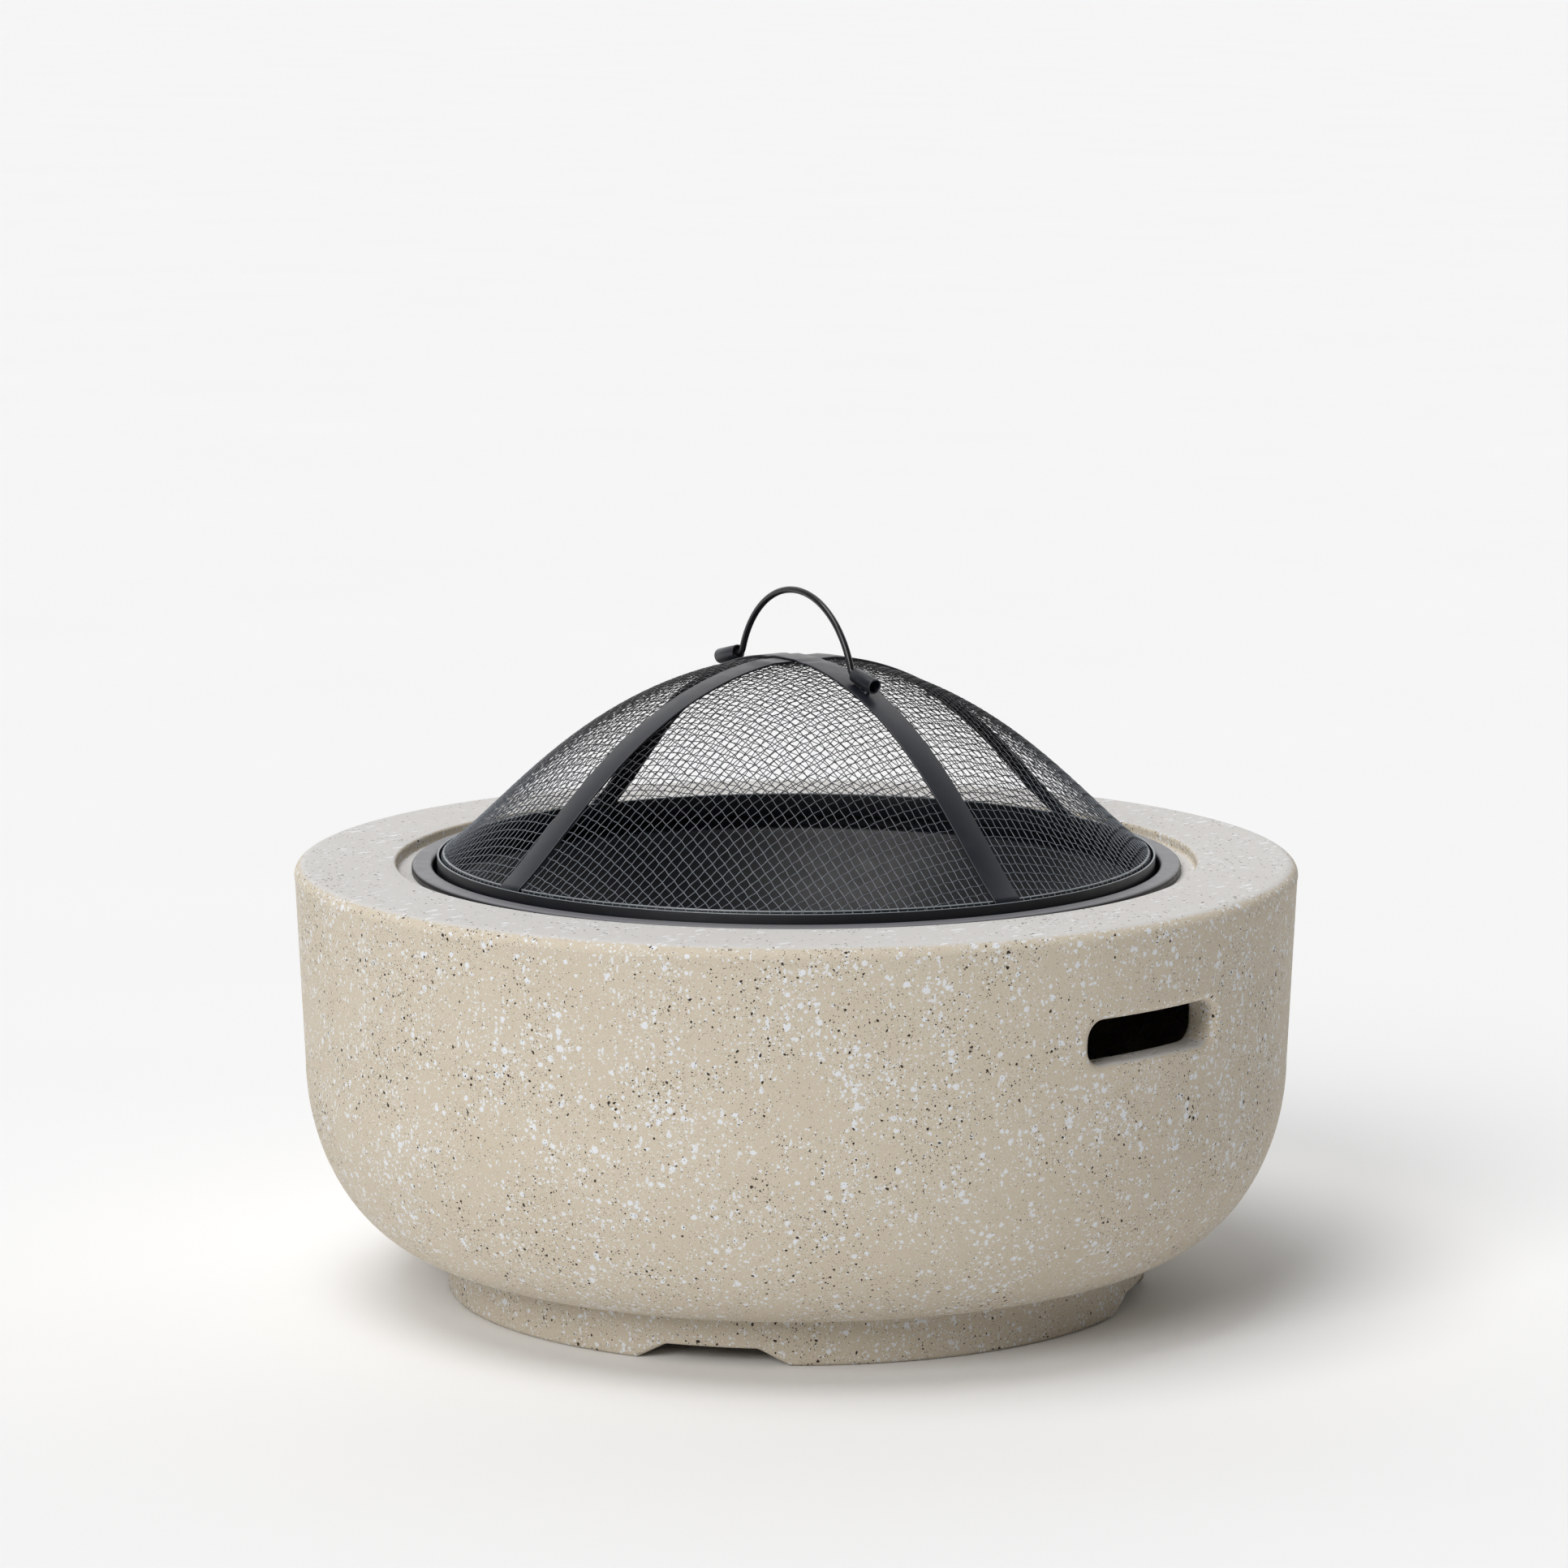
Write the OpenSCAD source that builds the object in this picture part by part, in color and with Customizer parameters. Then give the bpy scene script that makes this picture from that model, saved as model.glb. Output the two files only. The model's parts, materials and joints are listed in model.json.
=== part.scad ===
// Garden fire pit: a round cast-stone body, a lift-out steel fire bowl, a loose log grate,
// and a domed spark guard of woven wire with a swinging bail handle.
// Frame: origin on the ground below the centre, +Z up, the two hand holes on +X and -X.

/* [Stone body] */
// Outside diameter at the top edge
stone_d = 600; // [580:5:640]
// Height of the stone from the ground
stone_h = 260; // [255:1:280]
// How much the wall radius shrinks from the top edge down to the shoulder
wall_lean = 5.4; // [2:0.2:8]
// Height at which the wall turns into the rounded shoulder
shoulder_z = 142; // [125:1:150]
// Thickness of the cast wall
wall_t = 22; // [18:1:26]
// Height of the floor inside the stone
cavity_floor_z = 38; // [34:1:44]
// Rounding of the outer top edge
rim_round = 7; // [4:1:10]
// Diameter of the round opening in the top
opening_d = 478.8; // [475:0.2:486]
// Depth of the ledge in the opening that the fire bowl's flange rests on
ledge_depth = 6.5; // [5:0.1:8]
// Thickness of the lip around the opening
lip_t = 28; // [20:1:32]

/* [Foot ring] */
// Outside diameter of the foot ring
foot_d = 421; // [400:1:440]
// Height of the foot ring
foot_h = 28; // [24:1:32]
// Width of the foot ring's standing face
foot_w = 26; // [20:1:34]
// Height of the recess under the stone, inside the foot ring
under_recess_h = 14; // [12:1:18]
// Height of the notches in the foot ring
notch_h = 10; // [6:1:11]
// Width of a notch at the ground
notch_base_w = 92; // [70:1:110]
// Width of a notch at its top
notch_top_w = 54; // [40:1:60]
// Direction of the first of the four notches
notch_turn = -57.5; // [-80:0.5:-30]

/* [Hand holes] */
// Width of a hand hole
hand_hole_w = 103; // [90:1:120]
// Height of a hand hole
hand_hole_h = 26; // [22:1:32]
// Height of a hand hole's centre
hand_hole_z = 194.5; // [188:0.5:200]
// Corner radius of a hand hole
hand_hole_r = 10.5; // [8:0.5:11]
// How far a hand hole widens at the outer face
hand_hole_flare = 6; // [3:1:8]

/* [Fire bowl] */
// Outside diameter of the bowl's flange
flange_d = 461.4; // [456:0.2:466]
// Sheet thickness
sheet_t = 1.2; // [1:0.1:2]
// Height of the flange's rolled-down edge
flange_roll_h = 5.1; // [3:0.1:6]
// Inside radius of the collar below the flange
collar_r = 217.4; // [216.5:0.1:218.5]
// Radius of the soft edge between the collar and the flange
collar_round = 3; // [2:0.5:4]
// Depth of the ledge that carries the spark guard, below the flange
guard_ledge_depth = 15; // [12:0.1:16]
// Radius of the dished bottom at its upper edge
dish_r = 206; // [203:1:208]
// Depth of the dished bottom
dish_depth = 100; // [95:1:110]

/* [Log grate] */
// Radius of the grate's ring, at the wire's centre
grate_r = 100; // [90:1:104]
// Wire diameter of the ring
grate_ring_wire = 8; // [6:1:9]
// Wire diameter of the bars
grate_bar_wire = 6; // [5:1:7]
// Number of bars
grate_bars = 8; // [6:2:8]
// Distance between bar centres
grate_bar_pitch = 24; // [22:1:25]
// Diameter of the four short legs
grate_leg_d = 8; // [6:1:9]
// Height of the ring above the lowest point of the bowl
grate_lift = 43; // [40:1:46]

/* [Spark guard] */
// Outside radius of the hoop band
band_r = 215; // [214:0.1:215.5]
// Thickness of the hoop band
band_t = 1.2; // [1:0.1:1.2]
// Height of the hoop band
band_h = 20; // [18:1:24]
// Thickness of the clamp ring inside the band
clamp_t = 1.55; // [1:0.05:2]
// Height of the clamp ring
clamp_h = 14; // [10:1:16]
// Overall thickness of the woven mesh
mesh_t = 0.5; // [0.4:0.1:0.6]
// Height of the mesh dome above the hoop, before the straps press its top flat
dome_rise = 116.3; // [105:0.1:120]
// How much the straps press the top of the dome flat
crown_press = 1.4; // [0.5:0.1:2]
// How much fuller than a parabola the dome is near its edge
dome_fullness = 0.35; // [0:0.05:0.5]
// Direction of the strap that carries the handle
guard_turn = -9.5; // [-20:0.5:0]
// Angle from the handle strap to the cross strap
strap_angle = 94.5; // [86:0.5:95]
// Width of the straps
strap_w = 18; // [16:1:20]
// Thickness of the straps
strap_t = 1.2; // [1:0.1:1.2]

/* [Bail handle] */
// Wire diameter of the handle
wire_d = 4; // [3.6:0.2:4]
// Height of the wire's centre at the top of the handle
handle_top_z = 421; // [418:1:430]
// Radius of the handle's arch, at the wire's centre
arch_r = 60; // [59.5:0.1:60.5]
// Radius of the bend from the arch into a pin
pin_bend_r = 5; // [4.5:0.5:5.5]
// Height of the handle's hinge line
pivot_z = 376.5; // [376.4:0.1:376.8]
// Distance of each pivot tube from the centre
tube_x = 71.5; // [71:0.5:74]
// Length of a pivot tube
tube_len = 20; // [19:0.1:20]
// Outside diameter of a pivot tube
tube_d = 9.2; // [9:0.1:9.4]
// Inside diameter of a pivot tube
tube_bore_d = 7.2; // [7.2:0.1:7.6]
// Tilt of a pivot tube, its outer end down along the strap
tube_tilt = 13.5; // [13:0.5:14]
// How far a pivot tube's centre lies below the hinge line
tube_drop = 1.9; // [1.8:0.1:2]

/* [Hidden] */
GRATE_BARS = [for (i = [1:grate_bars]) str("grate_bar_", i)];
GRATE_LEGS = [for (i = [1:4]) str("grate_leg_", i)];
$fn = 128;

stone_color = [0.77, 0.72, 0.64];
steel_color = [0.09, 0.09, 0.10];
past = 1;                               // how far a cutting shape runs past a face

top_r = stone_d / 2;
shoulder_r = top_r - wall_lean;
foot_r = foot_d / 2;
foot_in_r = foot_r - foot_w;
foot_round = 3;
opening_r = opening_d / 2;
ledge_z = stone_h - ledge_depth;
ledge_in_r = opening_r - 16.4;
opening_round = 2;

flange_r = flange_d / 2;
flange_z = ledge_z + flange_roll_h;     // top face of the flange
guard_ledge_z = flange_z - guard_ledge_depth;
dish_sphere_r = (dish_r * dish_r + dish_depth * dish_depth) / (2 * dish_depth);
dish_low_z = guard_ledge_z - dish_depth;
dish_center_z = dish_low_z + dish_sphere_r;

grate_ring_z = dish_low_z + grate_lift;
grate_bar_z = grate_ring_z + grate_ring_wire / 2 + grate_bar_wire / 2;
grate_edge_r = grate_r + grate_ring_wire / 2;
leg_gap = 0.3;                          // room between a leg and the dished bowl
leg_low_z = dish_surface_z(grate_r + grate_leg_d / 2) + leg_gap;
leg_top_z = grate_ring_z - grate_ring_wire / 2;

band_top_z = guard_ledge_z + band_h;
band_in_r = band_r - band_t;
mesh_out_r = band_in_r - strap_t - 0.2; // leaves room for a flat strap end inside the band
mesh_in_r = mesh_out_r - mesh_t;
clamp_r = mesh_in_r - 0.15;
clamp_top_z = band_top_z + 0.5;
skirt_z = clamp_top_z - clamp_h + 1;    // lower edge of the mesh and of the strap ends
dome_steps = 40;
strap_out_r = mesh_out_r + strap_t;
lift_in = 10.7;                         // the handle strap is fully raised up to here
lift_out = 18;                          // and back on the mesh from here
pin_end_x = tube_x - 2.6;               // the pins stop inside their tubes
arc_gap = 0.15;                         // degrees left open at each end of the handle's arcs

// ---- outline helpers: points are [radius, height] or [x, height] ----

function arc(cx, cz, rx, rz, from, to, steps = 12) =
    [for (i = [0:steps])
        let (a = from + (to - from) * i / steps)
        [cx + rx * cos(a), cz + rz * sin(a)]];

// Height of the dished bottom's upper surface at radius r
function dish_surface_z(r) = dish_center_z - sqrt(pow(dish_sphere_r, 2) - r * r);

// Height of the mesh dome's lower surface at radius r
function dome_z(r) =
    let (t = r / mesh_out_r,
         fall = t * t * (1 + dome_fullness * (1 - t * t) * pow(t, 4)))
    band_top_z + dome_rise - max(crown_press, dome_rise * fall);

function dome_radii(end) = [for (i = [0:dome_steps]) end * i / dome_steps];

function backwards(points) = [for (i = [len(points) - 1:-1:0]) points[i]];

// ---- stone ----

module stone_section() {
    inner_r = shoulder_r - wall_t;
    lip_z = ledge_z - lip_t;
    inner_top_r = inner_r + wall_lean * (lip_z - shoulder_z) / (stone_h - shoulder_z);
    polygon(concat(
        [[0, under_recess_h], [foot_in_r, under_recess_h], [foot_in_r, 0]],
        arc(foot_r - foot_round, foot_round, foot_round, foot_round, -90, 0, 4),
        arc(foot_r, shoulder_z, shoulder_r - foot_r, shoulder_z - foot_h, -90, 0, 20),
        arc(top_r - rim_round, stone_h - rim_round, rim_round, rim_round, 0, 90, 6),
        arc(opening_r + opening_round, stone_h - opening_round, opening_round, opening_round, 90, 180, 3),
        [[opening_r, ledge_z], [ledge_in_r, ledge_z], [ledge_in_r, lip_z], [inner_top_r, lip_z]],
        arc(foot_r, shoulder_z, inner_r - foot_r, shoulder_z - cavity_floor_z, 0, -90, 16),
        [[0, cavity_floor_z]]));
}

module hand_hole_outline(grow = 0) {
    r = hand_hole_r + grow;
    for (y = [-1, 1], z = [-1, 1])
        translate([y * (hand_hole_w / 2 - hand_hole_r), z * (hand_hole_h / 2 - hand_hole_r)])
            circle(r, $fn = 32);
    square([hand_hole_w + 2 * grow, hand_hole_h - 2 * hand_hole_r], center = true);
    square([hand_hole_w - 2 * hand_hole_r, hand_hole_h + 2 * grow], center = true);
}

// A hand hole cut outwards along +X, with a flared mouth
module hand_hole_cut() {
    flare_x = top_r - 11;
    translate([0, 0, hand_hole_z]) {
        translate([top_r - 60, 0, 0]) rotate([90, 0, 90]) linear_extrude(70) hand_hole_outline();
        hull() {
            translate([flare_x, 0, 0]) rotate([90, 0, 90])
                linear_extrude(0.1) hand_hole_outline();
            translate([top_r, 0, 0]) rotate([90, 0, 90])
                linear_extrude(past) hand_hole_outline(hand_hole_flare);
        }
    }
}

module notch_cut() {
    translate([foot_in_r - past - 4, 0, 0]) rotate([90, 0, 90]) linear_extrude(foot_w + 12)
        polygon([
            [-notch_base_w / 2, 0], [-notch_base_w / 2, -past], [notch_base_w / 2, -past],
            [notch_base_w / 2, 0], [notch_top_w / 2, notch_h], [-notch_top_w / 2, notch_h]]);
}

module stone_body() color(stone_color) difference() {
    rotate_extrude() stone_section();
    for (turn = [0, 180]) rotate([0, 0, turn]) hand_hole_cut();
    for (turn = [0:90:270]) rotate([0, 0, notch_turn + turn]) notch_cut();
}

// ---- fire bowl ----

module bowl_section() {
    dish_half_angle = asin(dish_r / dish_sphere_r);
    under_r = dish_sphere_r + sheet_t;
    under_ledge_z = guard_ledge_z - sheet_t;
    under_half_angle = acos((dish_center_z - under_ledge_z) / under_r);
    round_x = collar_r + collar_round;
    round_z = flange_z - collar_round;
    inside_round = collar_round - sheet_t;
    polygon(concat(
        arc(0, dish_center_z, dish_sphere_r, dish_sphere_r, -90, dish_half_angle - 90, 24),
        [[collar_r, guard_ledge_z]],
        arc(round_x, round_z, collar_round, collar_round, 180, 90, 6),
        arc(flange_r - sheet_t, flange_z - sheet_t, sheet_t, sheet_t, 90, 0, 4),
        [[flange_r, ledge_z], [flange_r - sheet_t, ledge_z], [flange_r - sheet_t, flange_z - sheet_t]],
        arc(round_x, round_z, inside_round, inside_round, 90, 180, 4),
        [[collar_r + sheet_t, under_ledge_z]],
        arc(0, dish_center_z, under_r, under_r, under_half_angle - 90, -90, 24)));
}

module fire_bowl() color(steel_color) rotate_extrude() bowl_section();

// ---- log grate ----

module grate_ring() color(steel_color)
    translate([0, 0, grate_ring_z]) rotate_extrude()
        translate([grate_r, 0]) circle(d = grate_ring_wire, $fn = 32);

// Bars run along Y, side by side across X
module grate_bar(i) {
    x = (i - (grate_bars + 1) / 2) * grate_bar_pitch;
    half = sqrt(pow(grate_edge_r, 2) - x * x);
    color(steel_color) translate([x, half, grate_bar_z]) rotate([90, 0, 0])
        cylinder(d = grate_bar_wire, h = 2 * half, $fn = 32);
}

module grate_leg(i) color(steel_color)
    rotate([0, 0, 45 + 90 * (i - 1)]) translate([grate_r, 0, leg_low_z])
        cylinder(d = grate_leg_d, h = leg_top_z - leg_low_z, $fn = 32);

// ---- spark guard ----

module in_guard_frame() rotate([0, 0, guard_turn]) children();

module hoop_band() color(steel_color) translate([0, 0, guard_ledge_z]) difference() {
    cylinder(r = band_r, h = band_h);
    translate([0, 0, -past]) cylinder(r = band_in_r, h = band_h + 2 * past);
}

module clamp_ring() color(steel_color) translate([0, 0, clamp_top_z - clamp_h]) difference() {
    cylinder(r = clamp_r, h = clamp_h);
    translate([0, 0, -past]) cylinder(r = clamp_r - clamp_t, h = clamp_h + 2 * past);
}

module mesh_dome() color(steel_color) rotate_extrude() polygon(concat(
    [for (r = dome_radii(mesh_out_r)) [r, dome_z(r) + mesh_t]],
    [[mesh_out_r, skirt_z], [mesh_in_r, skirt_z]],
    backwards([for (r = dome_radii(mesh_in_r)) [r, dome_z(r)]])));

// A flat strip bent over the dome, its ends turned down inside the hoop band.
// The strap that crosses on top is raised over the other one by raise.
module strap(raise) {
    function over(r) = raise * min(1, max(0, (lift_out - r) / (lift_out - lift_in)));
    half = concat(
        [for (r = dome_radii(strap_out_r)) [r, dome_z(r) + mesh_t + strap_t + over(r)]],
        [[strap_out_r, skirt_z], [mesh_out_r, skirt_z]],
        backwards([for (r = dome_radii(mesh_out_r)) [r, dome_z(r) + mesh_t + over(r)]]));
    other_half = [for (i = [len(half) - 2:-1:1]) [-half[i][0], half[i][1]]];
    rotate([90, 0, 0]) translate([0, 0, -strap_w / 2]) linear_extrude(strap_w)
        polygon(concat(half, other_half));
}

module cross_strap() color(steel_color) in_guard_frame() rotate([0, 0, strap_angle]) strap(0);

module handle_strap() color(steel_color) in_guard_frame() strap(strap_t);

// A pivot tube's outer cylinder or its bore, on the +X side of the guard
module tube_cylinder(d, h) translate([tube_x, 0, pivot_z - tube_drop]) rotate([0, 90 + tube_tilt, 0])
    cylinder(d = d, h = h, center = true, $fn = 48);

module pivot_tube() difference() {
    tube_cylinder(tube_d, tube_len);
    tube_cylinder(tube_bore_d, tube_len + 2 * past);
}

// The bead between a pivot tube and the strap: it starts inside both and is cut back to their faces
module tube_weld() {
    weld_len = 9;
    weld_w = 5;
    weld_top_z = pivot_z - tube_drop - 2;
    x_in = tube_x - weld_len / 2;
    x_out = tube_x + weld_len / 2;
    strap_mid = mesh_t + strap_t / 2;
    difference() {
        rotate([90, 0, 0]) translate([0, 0, -weld_w / 2]) linear_extrude(weld_w) polygon([
            [x_in, dome_z(x_in) + strap_mid], [x_out, dome_z(x_out) + strap_mid],
            [x_out, weld_top_z], [x_in, weld_top_z]]);
        tube_cylinder(tube_d, 2 * tube_len);
        strap(strap_t);
    }
}

module right_pivot_tube() color(steel_color) in_guard_frame() pivot_tube();
module left_pivot_tube() color(steel_color) in_guard_frame() mirror([1, 0, 0]) pivot_tube();
module right_tube_weld() color(steel_color) in_guard_frame() tube_weld();
module left_tube_weld() color(steel_color) in_guard_frame() mirror([1, 0, 0]) tube_weld();

// ---- bail handle ----

// Round wire bent about [cx, cz] in the XZ plane, between two angles from +X towards +Z
module bent_wire(cx, cz, r, from, to) translate([cx, 0, cz]) rotate([90, 0, 0])
    rotate([0, 0, from]) rotate_extrude(angle = to - from) translate([r, 0]) circle(d = wire_d, $fn = 32);

// The arcs stop just short of each other, and a ball slightly wider than the wire joins each pair
module wire_ball(x, z) translate([x, 0, z]) sphere(d = wire_d + 0.1, $fn = 32);

// One side of the handle: the bend out of the arch and the pin inside its tube
module handle_side(arch_z, bend_x, bend_z, turn) {
    wire_ball(arch_r * cos(turn), arch_z + arch_r * sin(turn));
    bent_wire(bend_x, bend_z, pin_bend_r, 180 + turn + 4 * arc_gap, 270 - 4 * arc_gap);
    wire_ball(bend_x, pivot_z);
    translate([bend_x, 0, pivot_z]) rotate([0, 90, 0]) cylinder(d = wire_d, h = pin_end_x - bend_x, $fn = 32);
}

module bail_handle() color(steel_color) in_guard_frame() {
    arch_z = handle_top_z - arch_r;
    bend_z = pivot_z + pin_bend_r;
    bend_x = sqrt(pow(arch_r + pin_bend_r, 2) - pow(bend_z - arch_z, 2));
    turn = atan2(bend_z - arch_z, bend_x);      // where the arch meets the bend
    bent_wire(0, arch_z, arch_r, turn + arc_gap, 180 - turn - arc_gap);
    handle_side(arch_z, bend_x, bend_z, turn);
    mirror([1, 0, 0]) handle_side(arch_z, bend_x, bend_z, turn);
}

stone_body();
fire_bowl();
grate_ring();
for (i = [1:grate_bars])
    grate_bar(i);
for (i = [1:4])
    grate_leg(i);
hoop_band();
clamp_ring();
mesh_dome();
cross_strap();
handle_strap();
left_pivot_tube();
right_pivot_tube();
left_tube_weld();
right_tube_weld();
bail_handle();
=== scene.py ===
import json
import math

import bmesh
import bpy
from mathutils import Matrix, Vector, noise


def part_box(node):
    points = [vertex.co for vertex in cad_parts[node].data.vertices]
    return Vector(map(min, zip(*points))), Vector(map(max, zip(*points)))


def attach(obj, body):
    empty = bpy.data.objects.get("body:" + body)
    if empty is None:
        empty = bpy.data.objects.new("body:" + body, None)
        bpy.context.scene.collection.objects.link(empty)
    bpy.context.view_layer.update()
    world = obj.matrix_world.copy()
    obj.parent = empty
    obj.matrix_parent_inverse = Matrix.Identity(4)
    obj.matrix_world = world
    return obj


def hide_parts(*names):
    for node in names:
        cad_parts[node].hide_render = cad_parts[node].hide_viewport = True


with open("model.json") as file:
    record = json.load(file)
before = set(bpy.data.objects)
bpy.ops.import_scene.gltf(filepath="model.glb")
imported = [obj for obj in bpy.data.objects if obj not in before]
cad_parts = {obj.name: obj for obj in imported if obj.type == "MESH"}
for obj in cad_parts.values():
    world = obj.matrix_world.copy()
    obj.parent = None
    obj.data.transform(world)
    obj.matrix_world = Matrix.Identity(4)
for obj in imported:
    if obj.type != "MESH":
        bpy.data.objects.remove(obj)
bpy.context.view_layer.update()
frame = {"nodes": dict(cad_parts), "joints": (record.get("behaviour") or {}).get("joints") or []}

noise.seed_set(7)  # without a seed, noise_vector differs from run to run
MM = 0.001

# ---------------------------------------------------------------- sizes from the frame

STONE_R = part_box("stone_body")[1].x
STONE_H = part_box("stone_body")[1].z
BOWL_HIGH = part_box("fire_bowl")[1]
FLANGE_R, FLANGE_Z = BOWL_HIGH.x, BOWL_HIGH.z
BAND_LOW, BAND_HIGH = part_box("hoop_band")
BAND_R = BAND_HIGH.x
CLAMP_LOW, CLAMP_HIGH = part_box("clamp_ring")
MESH_LOW, MESH_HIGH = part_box("mesh_dome")
MESH_R = MESH_HIGH.x
HANDLE_TOP_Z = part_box("bail_handle")[1].z

SWING = next(j for j in frame["joints"] if j["name"] == "handle_swing")
PIVOT_Z = SWING["pos_m"][2]
GUARD_TURN = math.atan2(SWING["axis"][1], SWING["axis"][0])

# Stone
WALL_LEAN = 5.4 * MM
SHOULDER_Z = 142 * MM
SHOULDER_R = STONE_R - WALL_LEAN
WALL_T = 22 * MM
FLOOR_Z = 38 * MM
RIM_ROUND = 7 * MM
OPENING_R = 239.4 * MM
OPENING_ROUND = 2 * MM
LEDGE_Z = STONE_H - 6.5 * MM
LEDGE_IN_R = OPENING_R - 16.4 * MM
LIP_Z = LEDGE_Z - 28 * MM
FOOT_R = 210.5 * MM
FOOT_H = 28 * MM
FOOT_IN_R = FOOT_R - 26 * MM
UNDER_H = 14 * MM
NOTCH_H = 10 * MM
NOTCH_BASE = 46 * MM
NOTCH_TOP = 27 * MM
NOTCH_TURN = -57.5
HAND_HOLE_W = 103 * MM
HAND_HOLE_H = 26 * MM
HAND_HOLE_Z = 194.5 * MM
HAND_HOLE_R = 10.5 * MM
HAND_HOLE_FLARE = 6 * MM

# Fire bowl
SHEET = 1.2 * MM
COLLAR_R = 217.4 * MM
COLLAR_ROUND = 3 * MM
GUARD_LEDGE_Z = BAND_LOW.z
DISH_R = 206 * MM
DISH_DEPTH = 100 * MM

# Guard
BAND_T = 1.2 * MM
STRAP_W = 18 * MM
STRAP_T = 1.2 * MM
MESH_T = 0.5 * MM
STRAP_ANGLE = math.radians(94.5)
CROWN_PRESS = 1.4 * MM
DOME_FULLNESS = 0.35
DOME_RISE = MESH_HIGH.z - MESH_T + CROWN_PRESS - BAND_HIGH.z
SKIRT_Z = MESH_LOW.z
MESH_PITCH = 4.95 * MM
MESH_WIRE_R = 0.28 * MM
MESH_CRIMP = 0.34 * MM
TUBE_X = 71.5 * MM
TUBE_LEN = 20 * MM
TUBE_R = 4.6 * MM
TUBE_BORE_R = 3.6 * MM
TUBE_TILT = math.radians(13.5)
TUBE_Z = PIVOT_Z - 1.9 * MM
ARCH_R = 60 * MM
PIN_BEND_R = 5 * MM
PIN_END_X = TUBE_X - 2.6 * MM
STRAP_LIFT_OUT = 18 * MM      # the upper strap is back on the mesh from here
STRAP_LIFT_RAMP = 7.3 * MM
HANDLE_WIRE_R = 2 * MM

# ---------------------------------------------------------------- mesh helpers


def arc(cx, cz, rx, rz, start, end, steps):
    """Points of an elliptic arc, angles in degrees."""
    turns = [math.radians(start + (end - start) * i / steps) for i in range(steps + 1)]
    return [(cx + rx * math.cos(t), cz + rz * math.sin(t)) for t in turns]


def mesh_object(name, verts, faces, material, smooth=True):
    mesh = bpy.data.meshes.new(name)
    mesh.from_pydata([tuple(v) for v in verts], [], faces)
    mesh.validate()
    bm = bmesh.new()
    bm.from_mesh(mesh)
    bmesh.ops.remove_doubles(bm, verts=bm.verts, dist=1e-6)
    bmesh.ops.recalc_face_normals(bm, faces=bm.faces)
    bm.to_mesh(mesh)
    bm.free()
    for polygon in mesh.polygons:
        polygon.use_smooth = smooth
    obj = bpy.data.objects.new(name, mesh)
    bpy.context.scene.collection.objects.link(obj)
    obj.data.materials.append(material)
    return obj


def place(obj, body, slot, *nodes):
    """The piece rides on a body and stands for these CAD nodes, which it hides. The slot is not used."""
    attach(obj, body)
    if nodes:
        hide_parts(*nodes)
    return obj


def revolve_mesh(outline, steps, wobble=None):
    """A closed outline of (radius, height) turned about Z. Radius 0 becomes one point."""
    verts, rows = [], []
    for r, z in outline:
        if r < 1e-7:
            rows.append([len(verts)] * steps)
            verts.append((0, 0, z))
            continue
        row = []
        for j in range(steps):
            turn = 2 * math.pi * j / steps
            dr, dz = wobble(r, z, turn) if wobble else (0, 0)
            row.append(len(verts))
            verts.append(((r + dr) * math.cos(turn), (r + dr) * math.sin(turn), z + dz))
        rows.append(row)
    faces = []
    for i in range(len(rows)):
        a, b = rows[i], rows[(i + 1) % len(rows)]
        for j in range(steps):
            k = (j + 1) % steps
            loop = []
            for v in (a[j], a[k], b[k], b[j]):
                if v not in loop:
                    loop.append(v)
            if len(loop) > 2:
                faces.append(loop)
    return verts, faces


def sweep(path, section, closed=False, up=None):
    """A closed section (a list of (side, up) points) carried along a path of Vectors."""
    count = len(path)
    verts, faces = [], []
    previous_up = up
    for i, point in enumerate(path):
        ahead = path[(i + 1) % count] if closed else path[min(i + 1, count - 1)]
        behind = path[(i - 1) % count] if closed else path[max(i - 1, 0)]
        tangent = (ahead - behind).normalized()
        if previous_up is None:
            previous_up = Vector((0, 0, 1)) if abs(tangent.z) < 0.9 else Vector((1, 0, 0))
        side = tangent.cross(previous_up).normalized()
        level = side.cross(tangent).normalized()
        previous_up = level
        verts += [point + side * s + level * u for s, u in section]
    n = len(section)
    for i in range(count if closed else count - 1):
        a, b = i * n, ((i + 1) % count) * n
        faces += [(a + k, a + (k + 1) % n, b + (k + 1) % n, b + k) for k in range(n)]
    if not closed:
        faces.append(list(range(n)))
        faces.append(list(range((count - 1) * n, count * n)))
    return verts, faces


def round_section(radius, sides):
    return [(radius * math.cos(2 * math.pi * k / sides), radius * math.sin(2 * math.pi * k / sides))
            for k in range(sides)]


def strip_section(width, thick, round_r, steps=3):
    """A flat strip's section with rounded edges, its underside at height 0."""
    points = []
    for cx, cz, start in ((width / 2 - round_r, thick - round_r, 90), (-(width / 2 - round_r), thick - round_r, 180),
                          (-(width / 2 - round_r), round_r, 270), (width / 2 - round_r, round_r, 360)):
        points += arc(cx, cz, round_r, round_r, start - 90, start, steps)
    return points


def merged(parts):
    """Several (verts, faces) as one."""
    verts, faces = [], []
    for part_verts, part_faces in parts:
        base = len(verts)
        verts += list(part_verts)
        faces += [[base + i for i in face] for face in part_faces]
    return verts, faces


def turned(part, matrix):
    verts, faces = part
    return [matrix @ Vector(v) for v in verts], faces


# ---------------------------------------------------------------- materials


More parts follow.
